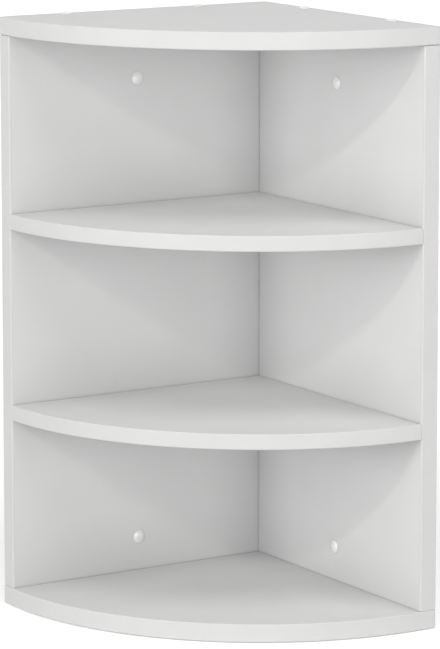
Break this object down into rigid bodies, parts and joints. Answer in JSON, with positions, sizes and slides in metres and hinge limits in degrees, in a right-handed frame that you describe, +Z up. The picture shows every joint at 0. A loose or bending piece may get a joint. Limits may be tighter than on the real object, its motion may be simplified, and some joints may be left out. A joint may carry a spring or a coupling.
{
  "type": "corner shelf unit",
  "caption": "Quarter-round corner shelf unit of white board, with open compartments between a top board, shelves and a bottom board, on side panels joined at the back corner.",
  "frame": {"origin": "centre of the unit's bounding box, on the underside of the bottom board", "axes": "+Z up; +X along the right-hand wall, away from the back corner; +Y towards the right-hand wall, so that the left-hand wall runs from the back corner along -Y and the rounded front faces +X and -Y"},
  "size_m": [0.3, 0.3, 0.5723],
  "materials": {
    "board": "white melamine-faced chipboard, satin",
    "edge_band": "white edge band, satin, softened edges",
    "screw": "bright zinc plate",
    "cap": "white moulded plastic, semi-gloss"
  },
  "bodies": {
    "root": {"top_board": "board", "bottom_board": "board", "upper_shelf": "board", "lower_shelf": "board", "left_side_panel": "board", "right_side_panel": "board", "top_board_edge_band": "edge_band", "bottom_board_edge_band": "edge_band", "upper_shelf_edge_band": "edge_band", "lower_shelf_edge_band": "edge_band", "left_panel_edge_band": "edge_band", "right_panel_edge_band": "edge_band", "top_screw_left_near": "screw", "top_screw_left_far": "screw", "top_screw_right_near": "screw", "top_screw_right_far": "screw", "bottom_screw_left_near": "screw", "bottom_screw_left_far": "screw", "bottom_screw_right_near": "screw", "bottom_screw_right_far": "screw", "upper_shelf_screw_left_near": "screw", "upper_shelf_screw_left_far": "screw", "upper_shelf_screw_right_near": "screw", "upper_shelf_screw_right_far": "screw", "lower_shelf_screw_left_near": "screw", "lower_shelf_screw_left_far": "screw", "lower_shelf_screw_right_near": "screw", "lower_shelf_screw_right_far": "screw", "corner_screw_lower": "screw", "corner_screw_middle": "screw", "corner_screw_upper": "screw", "top_cap_left_near": "cap", "top_cap_left_far": "cap", "top_cap_right_near": "cap", "top_cap_right_far": "cap", "wall_cap_left_upper": "cap", "wall_cap_left_lower": "cap", "wall_cap_right_upper": "cap", "wall_cap_right_lower": "cap"}
  },
  "joints": []
}
